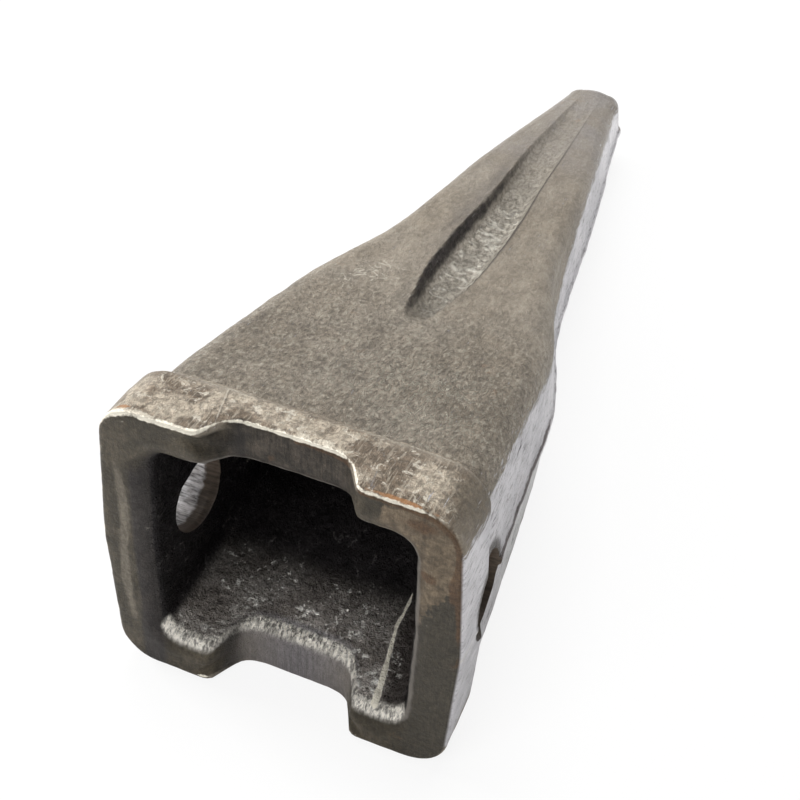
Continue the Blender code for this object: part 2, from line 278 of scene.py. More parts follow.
def notch_shift(x, y, depth):
    """How far a notch presses each point along the tooth."""
    ramp = curve(NOTCH_OUT, NOTCH_SHARE, np.abs(x))
    return depth * ramp * fade(y, NOTCH_HOLD, NOTCH_HOLD + NOTCH_FADE)


def rings(section, places, offsets, notch):
    """Quarter rings with a notch pressed in: arrays of x, y and z, one row a ring."""
    y = np.repeat(np.asarray(places, float)[:, None], QUARTER + 1, axis=1)
    offset = np.asarray(offsets, float)[:, None]
    x, z = section(y, offset)
    y = y + notch_shift(x, y, notch)
    x, z = section(y, offset)
    return x, y, z


def steps(start, end, pitch):
    """Places from start to end, a pitch or less apart."""
    return np.linspace(start, end, max(int(math.ceil(abs(end - start) / pitch)), 1) + 1)


def around(count):
    """Angles of a rounded edge, without its start."""
    return np.linspace(0.0, np.pi / 2, count + 1)[1:]


def quarter_rows(notch):
    """All the quarter rings from tip to pocket end, with the zone of each row."""
    rows, zones = [], []

    def add(xyz, zone):
        rows.append(np.stack(xyz, axis=-1))
        zones.extend([zone] * len(xyz[0]))

    share = np.cos(np.linspace(np.pi / 2 * 0.045, np.pi / 2, NOSE_RINGS + 1)[:-1])
    scale = ((1.0 - share ** NOSE_BLUNTNESS) ** (1.0 / NOSE_BLUNTNESS))[:, None]
    x, z = skin(np.full((1, QUARTER + 1), NOSE_AT), 0.0)
    y = np.repeat((NOSE_AT + (LENGTH - NOSE_AT) * share)[:, None], QUARTER + 1, axis=1)
    add((x * scale, y, z * scale), "body")
    places = np.concatenate((steps(NOSE_AT, 190.0, 1.9), steps(190.0, 92.0, 0.95)[1:],
                             steps(92.0, COLLAR_LENGTH, 1.45)[1:]))
    add(rings(skin, places, np.zeros(len(places)), notch), "body")
    places = steps(COLLAR_LENGTH, RIM_OUTER, 0.95)[1:]
    add(rings(skin, places, np.zeros(len(places)), notch), "collar")
    turn = around(OUTER_RINGS)
    add(rings(skin, RIM_OUTER * (1 - np.sin(turn)), RIM_OUTER * (1 - np.cos(turn)), notch), "arc")
    outer = rows[-1][-1]
    inner = np.stack(rings(pocket, [0.0], [RIM_INNER], notch), axis=-1)[0]
    for share in np.linspace(0.0, 1.0, FRONT_RINGS + 2)[1:-1]:
        flat = outer + (inner - outer) * share
        add((flat[None, :, 0], flat[None, :, 1], flat[None, :, 2]), "rim")
    turn = np.linspace(np.pi / 2, 0.0, INNER_RINGS)
    add(rings(pocket, RIM_INNER * (1 - np.sin(turn)), RIM_INNER * (1 - np.cos(turn)), notch), "flare")
    places = np.concatenate((steps(RIM_INNER, LAND_LENGTH - LAND_BLEND, 1.3)[1:],
                             steps(LAND_LENGTH + LAND_BLEND, POCKET_DEPTH - POCKET_END_ROUND, 2.0)))
    add(rings(pocket, places, np.zeros(len(places)), notch), "pocket")
    turn = around(4)
    add(rings(pocket, POCKET_DEPTH - POCKET_END_ROUND * (1 - np.sin(turn)),
              -POCKET_END_ROUND * (1 - np.cos(turn)), notch), "pocket")
    end = rows[-1][-1]
    for share in (0.85, 0.7, 0.55, 0.4, 0.25, 0.1):
        add(tuple(v[None, :] for v in (end[:, 0] * share, end[:, 1], end[:, 2] * share)), "pocket")
    return np.concatenate(rows), np.array(zones)


def full_rows(upper, lower):
    """Joins mirrored quarter rings into closed rings of 4 x QUARTER points."""
    flip_x = np.array([-1.0, 1.0, 1.0])
    flip_z = np.array([1.0, 1.0, -1.0])
    return np.concatenate((upper, lower[:, -2::-1] * flip_z, lower[:, 1:] * flip_z * flip_x,
                           upper[:, -2:0:-1] * flip_x), axis=1)


def normals(grid):
    """Unit normals of a closed grid of rings, pointing out of the steel."""
    along = np.gradient(grid, axis=0)
    across = (np.roll(grid, -1, axis=1) - np.roll(grid, 1, axis=1)) / 2
    n = np.cross(along, across)
    n /= np.maximum(np.linalg.norm(n, axis=2, keepdims=True), 1e-9)
    probe = len(grid) // 3
    if (n[probe, 0, 2] * grid[probe, 0, 2]) < 0:
        n = -n
    return n


# Forming the surface

def gauss(*terms):
    """Soft spot: each term is (value, middle, reach)."""
    return np.exp(-sum(((value - middle) / reach) ** 2 for value, middle, reach in terms))


def ridged(points, size, seed, stretch):
    """Noise of sharp crests, 1 on a crest and about 0 between."""
    return 1.0 - np.clip(np.abs(noise(points, size, seed, 2, stretch)) * 2.4, 0.0, 1.0)


def survey(grid, zones):
    """What the relief and the masks ask of each point, one value a point."""
    s = SimpleNamespace()
    s.p = grid.reshape(-1, 3)
    s.x, s.y, s.z = s.p[:, 0], s.p[:, 1], s.p[:, 2]
    s.above = s.z > 0
    s.below = s.z < 0
    s.zone = np.repeat(zones, grid.shape[1])
    s.outer = np.isin(s.zone, ("body", "collar", "arc"))
    s.inner = np.isin(s.zone, ("pocket", "flare"))
    s.front = np.isin(s.zone, ("rim", "arc", "flare")) * 1.0
    s.body = (s.zone == "body") * 1.0
    s.normal = normals(grid).reshape(-1, 3)
    s.up = np.abs(s.normal[:, 2])
    s.side = np.abs(s.normal[:, 0])
    # where each ring stood before the notch moved it
    s.base = np.repeat(grid[:, QUARTER, 1], grid.shape[1])

    # trough: off is -1 at its left edge and 1 at its right edge, along is its share of the depth
    left = curve(TROUGH_AT, TROUGH_LEFT, s.y)
    right = curve(TROUGH_AT, TROUGH_RIGHT, s.y)
    s.flat = s.outer & (s.up > 0.3)
    s.off = (s.x * np.sign(s.z) - (left + right) / 2) / ((right - left) / 2)
    s.along = ease(s.y, 77.0, 99.0) * (1.0 - 0.72 * ease(s.y, 160.0, 226.0)
                                       - 0.28 * ease(s.y, 226.0, 259.0))
    return s


def trough_crests(s):
    """Crests and ripples of the trough's floor, from 0 to 1, strongest where it is widest."""
    floor = np.where(s.flat & (s.off > -0.62) & (s.off < 0.9), s.along, 0.0)
    rear = 0.35 + 0.65 * fade(np.abs(s.y - 122.0), 24.0, 72.0)
    crest = ridged(s.p, 4.4, 7, (1.7, 0.55, 1.0)) * floor * rear
    ripple = noise(s.p, 6.0, 5, 3, (1.6, 0.6, 1.0)) * floor * rear
    return crest, ripple


def long_pits(s):
    """Pits drawn out along the side walls near the collar, from 0 to 1."""
    pits = np.clip(noise(s.p, 3.6, 33, 3, (1.0, 1.9, 0.8)) - 0.56, 0.0, 0.5) * 2.0
    pits *= s.outer * (s.side > 0.6) * bump(s.y, 36.0, 60.0) * ease(np.abs(s.z), 4.0, 9.0)
    return pits * fade(np.abs(s.z), 24.0, 30.0)


def punch_seam(s):
    """The seam that the punch left along the floor of the socket, from 0 to 1."""
    at = np.interp(s.y, SEAM_AT, SEAM_X)
    reach = np.interp(s.y, SEAM_REACH_AT, SEAM_REACH)
    seam = gauss((s.x, at, reach)) * (s.z < -20.0) * s.inner * ease(s.base, 1.5, 3.0)
    return seam * fade(s.y, 37.0, 42.0)


def hammered(s):
    """Place of the hammered scale behind the collar on the right."""
    return s.body * gauss((s.x, 20.0, 20.0), (s.y, 44.0, 17.0)) * s.above


def relief(s):
    """How far each point moves out along its normal."""
    lip = np.where(s.flat, np.exp(-((np.abs(s.off) - 1.1) / 0.12) ** 2), 0.0) * s.along
    push = CREST_RISE * s.crest + RIPPLE_RISE * s.ripple + LIP_RISE * lip
    wave = noise(s.p, 11.0, 12, 3)
    grain = noise(s.p, 3.4, 13, 2)
    swell = noise(s.p, 34.0, 11, 2)
    push += np.where(s.outer, SWELL_RISE * swell + 0.07 * wave + 0.05 * grain, 0.0)
    push += np.where(s.zone == "rim", 0.05 * wave + 0.03 * grain, 0.0)
    push += np.where(s.inner, 0.2 * wave + 0.12 * grain, 0.0)
    push += hammered(s) * HAMMER_RISE * noise(s.p, 2.6, 21, 2)
    push += s.body * fade(s.y, 60.0, 150.0) * SCALE_RISE * noise(s.p, 5.0, 22, 2)
    # dented crest of the collar
    push += (s.zone == "collar") * s.up * DENT_DEPTH * np.minimum(noise(s.p, 6.0, 23, 3), 0.2)
    # trimmed flash, torn here and there, with a burr where it ends at the tip
    at_flash = np.exp(-(s.z / 1.3) ** 2) * s.outer * (np.abs(s.x) > 9.0)
    torn = noise(np.stack((np.sign(s.x) * 50, s.y, s.z * 0), axis=1), 7.0, 31, 3)
    push += at_flash * (0.25 * torn - 0.15)
    push += s.outer * BURR_RISE * gauss((s.x, 9.8, 2.5), (s.y, 256.0, 2.2), (s.z, 11.5, 2.4))
    push -= PIT_DEPTH * s.pits
    # rough back of the pocket
    push += ease(s.y, 60.0, 84.0) * s.inner * BACK_RISE * noise(s.p, 5.0, 41, 3)
    return push + SEAM_RISE * s.seam


def trough_sink(s):
    """Depth of the trough: steep on the left, gentler on the right, with a round floor."""
    wall = np.where(s.off < 0, TROUGH_STEEP, TROUGH_GENTLE)
    return TROUGH_DEPTH * np.where(s.flat, s.along * (1.0 - np.clip(np.abs(s.off), 0, 1) ** wall), 0.0)


def rim_masks(s):
    """Places on the front of the rim, its worn edges and its two notches."""
    x = s.x
    z = s.z
    front = s.front
    arc = s.zone == "arc"
    lower_notch = front * gauss((x, 0.0, 17.0)) * s.below * ease(s.y, 4.0, 9.0)
    flare_end = np.where(s.zone == "flare", fade(s.base, 1.6, 4.2), 1.0)
    arc_end = np.where(arc, ease(np.abs(s.normal[:, 1]), 0.6, 0.9), 1.0)
    top_edge = np.where(x < -18.0, bump(s.normal[:, 2], 0.62, 0.8), bump(s.normal[:, 2], 0.66, 0.46))
    left_edge = 0.55 * (x < -30.0) * bump(s.normal[:, 0], -0.7, 0.4)
    # painted shade in the concave folds beside the notches' flanks
    lower_fold_shade = np.maximum(front, s.inner) * gauss((x, -18.2, 2.1), (s.base, 1.0, 5.0))
    brown = (gauss((x, 47.3, 1.2), (z, 26.0, 10.0)) + gauss((x, 41.0, 3.2), (z, 25.3, 1.6))
             + 0.8 * gauss((x, 38.0, 9.0), (z, 41.5, 2.5))
             + 0.8 * arc * (x > 0) * ease(z, -20.0, 15.0))
    return {
        "front": front * flare_end * arc_end * (1 - lower_notch),
        "low_notch": lower_notch,
        "notch": front * s.above * curve(NOTCH_OUT, NOTCH_SHARE, np.abs(x)),
        "fold": np.where(s.above, front * gauss((x, -13.8, 1.7)), lower_fold_shade),
        "band": front * gauss((x, -44.3 + 0.7 * np.sin(z / 8.0), 1.9)) * fade(np.abs(z), 18.0, 42.0),
        "shaded": front * ease(x, -42.0, -41.0) * fade(x, -36.0, -33.0) * fade(z, 24.0, 32.0),
        "tan": front * ease(x, 12.0, 44.0),
        "olive": front * ease(x, 34.0, 39.0),
        "brown": front * brown,
        "edge": arc * fade(x, 38.0, 44.0) * np.maximum(top_edge, left_edge),
    }


def skin_masks(s):
    """Places on the collar and on the top and bottom faces."""
    cream = (0.75 * gauss((s.x, 6.0, 15.0), (s.base, 1.2, 2.0))
             + 0.6 * gauss((s.x, -24.0, 15.0), (s.y, 21.0, 2.6))
             + 1.0 * gauss((s.x, -38.0, 12.0), (s.base, 0.8, 1.4)))
    rust = gauss((s.x, 32.0, 12.0), (s.y, 1.1, 1.0)) + gauss((s.x, -42.0, 3.5), (s.y, 2.4, 1.2))
    return {
        "collar": np.isin(s.zone, ("collar", "arc")) * fade(s.side, 0.5, 0.8),
        "scuffed": 1.0 - 0.6 * ease(s.base, 15.0, 21.0),
        "cream": s.outer * s.above * cream,
        "corner": s.outer * s.above * gauss((s.x, 46.0, 7.0), (s.y, 14.0, 18.0)),
        "rust": s.outer * s.above * rust,
        "near": s.body * fade(s.y, 55.0, 120.0),
        "patch": hammered(s),
        "worms": s.body * gauss((s.x, -19.0, 9.0), (s.y, 96.0, 13.0)) * s.above,
        "tip": s.outer * ease(s.y, 150.0, 250.0),
    }


def trough_masks(s):
    """Places in the trough and beside it."""
    wall_reach = 0.32 - 0.12 * ease(s.y, 120.0, 180.0)
    # painted shade on the steep left wall, narrower and fainter towards the tip
    dark_wall = np.sqrt(s.along) * (1.0 - 0.35 * ease(s.y, 135.0, 200.0))
    dark_wall = dark_wall * bump((s.off + 0.92) / wall_reach, 0.0, 1.0)
    # painted shade in the crease along the right edge of the trough
    crease = np.sqrt(s.along) * bump(s.off, 0.99, 0.17) * (0.5 + 0.5 * ease(s.y, 85.0, 130.0))
    return {
        "trough": np.where(s.flat, s.along * ease(1.0 - np.abs(s.off), 0.0, 0.08), 0.0),
        "dark_wall": np.where(s.flat & (s.off < 0), dark_wall, 0.0),
        "penumbra": np.where(s.flat, gauss((s.off, -1.25, 0.45), (s.y, 160.0, 45.0)), 0.0),
        "crease": np.where(s.flat, crease, 0.0),
        "crest": s.crest,
    }


def side_masks(s):
    """Places on the side walls: bright under a winding line, and all over below the shoulder."""
    bare = np.interp(s.y, BARE_AT, BARE_UNDER)
    bare = np.where(s.below, bare + 26.0 * ease(s.y, 70.0, 135.0), bare)
    wall = s.outer * ease(s.side, 0.3, 0.5)
    return {
        "side": wall * fade(np.abs(s.z) - bare, -5.0, 4.0) * fade(s.y, 258.0, 264.0),
        "lower_side": wall * fade(s.z, -4.0, 2.0) * ease(s.y, 34.0, 60.0),
        "pits": np.clip(s.pits, 0, 1),
        "pitted": s.outer * (s.side > 0.5) * bump(s.y, 34.0, 70.0) * ease(np.abs(s.z), 1.0, 6.0),
        "mouth": s.outer * (s.x > 20.0) * fade(np.hypot(s.y - HOLE_AT, s.z - 1.6), 12.6, 14.0),
    }


def pocket_masks(s):
    """Places in the socket."""
    seam_x = np.interp(s.y, SEAM_AT, SEAM_X)
    top_left = ease(s.z, 20.0, 26.0) * ease(s.x, -31.0, -24.0)
    return {
        "inner": s.inner * ease(s.base, 0.4, 3.0),
        # painted highlight along the rim's inner edge, on the right and at the top left
        "flare": s.inner * gauss((s.base, 1.9, 1.1)) * np.maximum(ease(s.x, 30.0, 34.0), top_left),
        "lower_lip": s.inner * gauss((s.base, 2.9, 1.7)) * ease(s.normal[:, 2], 0.2, 0.5) * s.below,
        "pocket_floor": s.inner * ease(s.normal[:, 2], 0.45, 0.9) * s.below * fade(s.y, 32.0, 39.0),
        # painted light on the socket's floor, strongest at the mouth
        "nearer": fade(s.y, 6.0, 36.0),
        "hollow": s.inner * ease(s.x, seam_x, seam_x + 3.0) * (s.z < -10.0),
        "seam": s.seam,
    }


def form(grid, zones):
    """Sinks the trough and roughens the skin. Gives the points and the masks for the materials."""
    s = survey(grid, zones)
    s.crest, s.ripple = trough_crests(s)
    s.pits = long_pits(s)
    s.seam = punch_seam(s)
    moved = s.p + s.normal * relief(s)[:, None]
    moved[:, 2] -= np.sign(s.z) * trough_sink(s)
    masks = {}
    for places in (rim_masks, skin_masks, trough_masks, side_masks, pocket_masks):
        masks.update(places(s))
    return moved.reshape(grid.shape), {name: np.asarray(v, float) for name, v in masks.items()}


def tooth_frame():
    """Matrix from the tooth's own frame to where it lies, read from the record's rim mounts."""
    mounts = {mount["name"]: mount for mount in frame["record"]["mounts"]}
    left, right = (Vector(mounts[name]["pos_m"]) for name in ("rim_left", "rim_right"))
    across = (right - left).normalized()
    forward = -Vector(mounts["rim_right"]["axis"]).normalized()
    up = across.cross(forward)
    matrix = Matrix((across, forward, up)).transposed().to_4x4()
    matrix.translation = (left + right) / 2
    return matrix


LAY = tooth_frame()


def to_world(points_mm):
    """Points of the tooth's own frame where it lies, in metres."""
    m = np.array(LAY)
    return points_mm * MM @ m[:3, :3].T + m[:3, 3]


def linked(name, data):
    """A new object in the scene."""
    made = bpy.data.objects.new(name, data)
    bpy.context.scene.collection.objects.link(made)
    return made


def closed_mesh(name, grid):
    """Mesh of a grid of closed rings, with a point at each end."""
    count, width = grid.shape[:2]
    poles = np.stack((grid[0].mean(axis=0), grid[-1].mean(axis=0)))
    poles[0, 1] = max(poles[0, 1], grid[0, :, 1].max())
    flat = np.concatenate((grid.reshape(-1, 3), poles))
    index = np.arange(count * width).reshape(count, width)
    side = np.roll(index, -1, axis=1)
    quads = np.stack((index[:-1], index[1:], side[1:], side[:-1]), axis=-1).reshape(-1, 4)
    faces = quads.tolist()
    faces += [(a, b, count * width) for a, b in zip(index[0].tolist(), side[0].tolist())]
    faces += [(b, a, count * width + 1) for a, b in zip(index[-1].tolist(), side[-1].tolist())]
    mesh = bpy.data.meshes.new(name)
    mesh.from_pydata(to_world(flat).tolist(), [], faces)
    mesh.validate()
    shape = bmesh.new()
    shape.from_mesh(mesh)
    bmesh.ops.recalc_face_normals(shape, faces=shape.faces)
    shape.to_mesh(mesh)
    shape.free()
    return mesh, flat


def bore_cutter():
    """Cylinder for the pin hole, finely grooved in both walls."""
    stations = []
    for (a, wide_a), (b, wide_b) in zip(BORE_PROFILE, BORE_PROFILE[1:]):
        plain = wide_a == wide_b == 0.0
        count = max(int(abs(b - a) / BORE_PITCH), 1) if plain else 1
        stations += [(a + (b - a) * i / count, wide_a + (wide_b - wide_a) * i / count)
                     for i in range(count)]
    stations.append(BORE_PROFILE[-1])
    turn = np.linspace(0.0, 2 * np.pi, BORE_POINTS, endpoint=False)
    grid = []
    for x, wider in stations:
        groove = GROOVE[0] * math.sin(GROOVE[1] * x) if wider == 0.0 else 0.0
        r = HOLE_RADIUS + wider + groove
        ring = (np.full(BORE_POINTS, x), HOLE_AT + r * np.cos(turn), r * np.sin(turn))
        grid.append(np.stack(ring, axis=1))
    return closed_mesh("bore_cutter", np.array(grid))[0]


# Materials: linear colours, a pair where noise runs from one to the other

SCALE = ((0.258, 0.219, 0.171), (0.306, 0.266, 0.215))
# painted highlight on the raised grain of the scale, and painted shade in its hollows
GRAIN_HIGHLIGHT = (0.54, 0.495, 0.41)
GRAIN_SHADE = (0.095, 0.08, 0.065)
SMOOTH_SCALE = ((0.27, 0.242, 0.214), (0.285, 0.266, 0.262))
CRACKLE = (0.66, 0.61, 0.51)
WORMS = (0.62, 0.57, 0.48)
COLLAR = ((0.15, 0.114, 0.082), (0.41, 0.352, 0.278))
SCUFFS = (0.47, 0.42, 0.34)
CHIPS = (0.64, 0.59, 0.5)
CREAM = (0.72, 0.66, 0.55)
STAIN = (0.12, 0.098, 0.07)
TROUGH_BED = (0.4, 0.37, 0.32)
CREST_HIGHLIGHTS = (0.76, 0.73, 0.65)
CREASE_SHADE = (0.075, 0.063, 0.055)
PENUMBRA = (0.11, 0.098, 0.096)
# painted shade of the trough's steep left wall
TROUGH_WALL_SHADE = (0.02, 0.017, 0.018)
SHEET = ((0.45, 0.44, 0.46), (0.56, 0.545, 0.565))
LOWER_SIDE_REFLECTION = (0.58, 0.58, 0.57)
DASHES = (0.17, 0.155, 0.16)
PITS = (0.075, 0.065, 0.068)
HOLE_MOUTH = (0.05, 0.04, 0.036)
FLASH_HIGHLIGHT = (0.6, 0.57, 0.52)
FLASH_SHADE = (0.08, 0.062, 0.055)
RIM_SCALE_AND_SHADE = ((0.045, 0.037, 0.025), (0.079, 0.065, 0.045))
RIM_SHADED = (0.029, 0.025, 0.026)
RIM_BAND = (0.17, 0.147, 0.113)
RIM_TAN = (0.14, 0.106, 0.07)
RIM_OLIVE = (0.047, 0.04, 0.029)
NOTCH_SCALE_AND_SHADE = (0.044, 0.035, 0.028)
RIM_BROWN = (0.09, 0.05, 0.026)
POCKET_WALL_SHADE = (0.018, 0.0155, 0.016)
POCKET_FLOOR = ((0.115, 0.102, 0.092), (0.21, 0.192, 0.176))
HOLLOW = (0.05, 0.042, 0.038)
GLINTS = (0.85, 0.83, 0.78)
WALL_GLINTS = (0.3, 0.28, 0.27)
POCKET_EDGE_HIGHLIGHT = (0.23, 0.208, 0.185)
NOTCH_FACE = (0.235, 0.218, 0.222)
LIP_POLISH_AND_HIGHLIGHT = (0.78, 0.74, 0.67)
FOLD_SHADE = (0.018, 0.015, 0.014)
SEAM = (0.86, 0.81, 0.69)
SCRATCH_LIGHT = (0.62, 0.57, 0.49)
SCRATCH_SHADE = (0.07, 0.056, 0.044)
RUST_SPOTS = (0.26, 0.13, 0.055)
RUST = (0.33, 0.165, 0.07)
WORN_EDGE = (0.96, 0.9, 0.77)
BORE = ((0.62, 0.59, 0.58), (0.95, 0.93, 0.94))
BORE_SCALE = (0.1, 0.076, 0.058)
STEEL_BUMP = 0.0008
BORE_BUMP = 0.0002


def empty_tree(owner):
    """Node tree of a material or a world, without its nodes."""
    owner.use_nodes = True
    owner.node_tree.nodes.clear()
    return owner.node_tree


def put(tree, kind, values=None, **settings):
    """A shader node with its settings, and values or links for its sockets."""
    node = tree.nodes.new("ShaderNode" + kind)
    for key, value in settings.items():
        setattr(node, key, value)
    for key, value in (values or {}).items():
        if isinstance(value, bpy.types.NodeSocket):
            tree.links.new(value, node.inputs[key])
        else:
            node.inputs[key].default_value = value
    return node


class Looks:
    """A material under construction."""

    def __init__(self, name):
        self.material = bpy.data.materials.new(name)
        self.tree = empty_tree(self.material)
        self.place = put(self.tree, "Attribute", attribute_name="place").outputs["Vector"]

    def mask(self, name):
        return put(self.tree, "Attribute", attribute_name=name).outputs["Fac"]

    def axes(self):
        """Sockets for the place across, along and up the tooth, in millimetres."""
        return put(self.tree, "SeparateXYZ", {0: self.place}).outputs

    def compute(self, operation, *values):
        return put(self.tree, "Math", dict(enumerate(values)), operation=operation).outputs[0]

    def add(self, a, b):
        return self.compute("ADD", a, b)

    def sub(self, a, b):
        return self.compute("SUBTRACT", a, b)

    def mul(self, a, b):
        return self.compute("MULTIPLY", a, b)

    def rest(self, share):
        """What a share leaves of 1."""
        return self.sub(1.0, share)

    def noise(self, size, detail=4.0, rough=0.55, warp=0.0, stretch=None, turn=0.0):
        """Noise with lumps of about the given size in millimetres, stretched by axis."""
        vector = self.place
        if stretch:
            vector = put(self.tree, "Mapping", {
                "Vector": vector, "Scale": [1.0 / s for s in stretch],
                "Rotation": (0.0, 0.0, turn)}).outputs["Vector"]
        node = put(self.tree, "TexNoise", {
            "Vector": vector, "Scale": 1.0 / size, "Detail": detail, "Roughness": rough,
            "Distortion": warp})
        return node.outputs["Fac"]

    def step(self, value, low, high, to_low=0.0, to_high=1.0):
        """A smooth step between two values."""
        node = put(self.tree, "MapRange", {
            "Value": value, "From Min": low, "From Max": high, "To Min": to_low, "To Max": to_high},
            interpolation_type="SMOOTHSTEP")
        return node.outputs[0]

    def about(self, noise, spread):
        """Noise moved about zero, with the given spread."""
        return self.mul(self.sub(noise, 0.5), spread)

    def ragged(self, share, noise, spread, low, high, to_high=1.0):
        """A smooth step with its edge broken up by noise."""
        return self.step(self.add(share, self.about(noise, spread)), low, high, 0.0, to_high)

    def line(self, value, middle, width):
        """1 where the value crosses the middle, 0 a width away."""
        away = self.compute("ABSOLUTE", self.sub(value, middle))
        return self.step(away, 0.0, width, 1.0, 0.0)

    def blend(self, share, a, b):
        """Colour a where the share is 0, colour b where it is 1."""
        node = put(self.tree, "Mix", {0: share}, data_type="RGBA")
        for slot, colour in ((6, a), (7, b)):
            if isinstance(colour, bpy.types.NodeSocket):
                self.tree.links.new(colour, node.inputs[slot])
            else:
                node.inputs[slot].default_value = (*colour, 1.0)
        return node.outputs[2]

    def over(self, colour, paint, share, strength):
        """A paint over a colour, where the share is 1 and with the given strength."""
        return self.blend(self.mul(share, strength), colour, paint)

    def tint(self, colour, factor):
        """Colour times a factor."""
        node = put(self.tree, "VectorMath", {0: colour, "Scale": factor}, operation="SCALE")
        return node.outputs[0]

    def number(self, share, a, b):
        """a where the share is 0, b where it is 1."""
        return put(self.tree, "Mix", {0: share, 2: a, 3: b}, data_type="FLOAT").outputs[0]

    def finish(self, colour, roughness, metallic, height, distance):
        bumped = put(self.tree, "Bump", {"Height": height, "Distance": distance, "Strength": 1.0})
        shader = put(self.tree, "BsdfPrincipled", {
            "Base Color": colour, "Roughness": roughness, "Metallic": metallic,
            "Specular IOR Level": 0.25, "Normal": bumped.outputs["Normal"]})
        put(self.tree, "OutputMaterial", {"Surface": shader.outputs[0]})
        return self.material


def shared_nodes(m):
    """Noises, places and shares that more than one part of the steel uses."""
    n = SimpleNamespace()
    n.across, n.along, n.up = m.axes()
    n.medium = m.noise(5.0, 5.0, 0.65)
    n.grain = m.noise(1.6, 6.0, 0.75, 0.3)
    # lumps of the top face, drawn out a little along the tooth
    n.lump = m.noise(5.0, 4.0, 0.6, 0.3, (1.0, 2.2, 1.0))
    n.sand = m.noise(1.25, 5.0, 0.7, 0.3, (1.0, 1.6, 1.0))
    n.hair = m.noise(1.3, 4.0, 0.7, 0.0, (0.55, 6.5, 0.55))
    n.ground = m.noise(0.9, 3.0, 0.6, 0.0, (0.6, 1.0, 7.0))
    n.streak = m.noise(1.1, 5.0, 0.7, 0.3, (0.8, 1.9, 1.9))
    # strongest behind the collar, and faint elsewhere
    crackle = m.mul(m.line(m.noise(1.7, 2.0, 0.6, 0.5, (0.8, 2.0, 1.0)), 0.5, 0.045),
                    m.step(n.grain, 0.4, 0.54))
    n.crackle = m.mul(crackle, m.add(m.mul(m.mask("patch"), 1.3), 0.2))
    n.bare = m.ragged(m.mask("side"), n.hair, 2.6, 0.4, 0.62)
    n.seam = m.ragged(m.mask("seam"), n.medium, 0.9, 0.55, 0.7)
    n.rust = m.ragged(m.mask("rust"), m.noise(3.0, 4.0, 0.65), 1.1, 0.55, 0.85)
    spots = m.mul(m.step(m.noise(9.0, 4.0, 0.65), 0.63, 0.72), m.step(m.noise(40.0, 2.0), 0.5, 0.62))
    n.spots = m.mul(spots, m.mul(m.rest(m.mask("side")), m.rest(m.mask("inner"))))
    return n


def scale_colour(m, n):
    """Warm grey scale with painted highlights on its fine grain and painted shade between, smoother
    towards the tip.
    """
    colour = m.blend(m.step(m.noise(26.0, 3.0), 0.35, 0.65), *SCALE)
    colour = m.tint(colour, m.step(n.lump, 0.36, 0.64, 0.86, 1.14))
    near = m.mask("near")
    # painted highlights where the grain stands up and painted shade where it sinks, stronger near the
    # collar
    light = m.mul(m.step(n.sand, 0.51, 0.62), m.number(near, 0.2, 0.5))
    dark = m.mul(m.step(n.sand, 0.38, 0.49, 1.0, 0.0), m.number(near, 0.24, 0.62))
    colour = m.blend(light, colour, GRAIN_HIGHLIGHT)
    colour = m.blend(dark, colour, GRAIN_SHADE)
    smooth = m.blend(m.step(m.noise(16.0, 3.0), 0.42, 0.6), *SMOOTH_SCALE)
    smooth = m.tint(smooth, m.step(n.sand, 0.3, 0.7, 0.9, 1.1))
    colour = m.over(colour, smooth, m.mask("tip"), 0.7)
    colour = m.over(colour, CRACKLE, n.crackle, 0.9)
    # worn winding lines by the waist
    worms = m.mul(m.line(m.noise(7.0, 2.0, 0.5, 0.9), 0.5, 0.022), m.step(n.medium, 0.38, 0.52))
    return m.blend(m.mul(worms, m.add(m.mask("worms"), 0.06)), colour, WORMS)


def collar_colour(m, n, colour):
    """Collar: browner, scuffed at a slant, chipped, and stained at its right corner."""
    collar = m.mask("collar")
    patches = m.blend(m.step(m.noise(10.0, 4.0, 0.6), 0.44, 0.57), *COLLAR)
    patches = m.tint(patches, m.step(n.grain, 0.38, 0.62, 0.55, 1.5))
    colour = m.over(colour, patches, m.mul(collar, m.mask("scuffed")), 0.85)
    scuffs = m.step(m.noise(0.9, 3.0, 0.6, 0.0, (0.7, 7.0, 1.0), 0.25), 0.53, 0.62)
    colour = m.over(colour, SCUFFS, m.mul(collar, scuffs), 0.5)
    chips = m.step(m.noise(3.2, 6.0, 0.8, 0.5), 0.56, 0.61)
    colour = m.over(colour, CHIPS, m.mul(collar, chips), 0.85)
    cream = m.ragged(m.mask("cream"), m.noise(3.0, 6.0, 0.75), 2.6, 0.42, 0.8)
    colour = m.over(colour, CREAM, cream, 0.7)
    stain = m.tint(STAIN, m.step(n.grain, 0.38, 0.62, 0.6, 1.5))
    return m.over(colour, stain, m.ragged(m.mask("corner"), n.medium, 1.2, 0.35, 0.9), 0.75)


def trough_colour(m, n, colour):
    """Trough: a clean floor with painted highlights on its crests, a painted line of shade in the
    crease along its right edge, painted shadow beside its left edge, and nearly black painted shade on
    the steep wall on the left.
    """
    bed = m.tint(TROUGH_BED, m.step(n.sand, 0.38, 0.62, 0.62, 1.35))
    bed = m.tint(bed, m.number(m.mask("near"), 1.0, 0.55))
    colour = m.over(colour, bed, m.mask("trough"), 0.8)
    # painted highlights on the crests of the trough's floor
    colour = m.blend(m.ragged(m.mask("crest"), n.grain, 1.3, 0.42, 0.95, 0.72), colour, CREST_HIGHLIGHTS)
    # painted shade in the crease along the trough's right edge
    colour = m.blend(m.step(m.mask("crease"), 0.1, 0.8, 0.0, 0.85), colour, CREASE_SHADE)
    colour = m.over(colour, PENUMBRA, m.mask("penumbra"), 0.45)
    # nearly black painted shade on the steep left wall
    wall_shade = m.tint(TROUGH_WALL_SHADE, m.step(n.sand, 0.42, 0.66, 0.6, 3.2))
    return m.over(colour, wall_shade, m.ragged(m.mask("dark_wall"), n.medium, 0.9, 0.3, 0.95), 0.94)


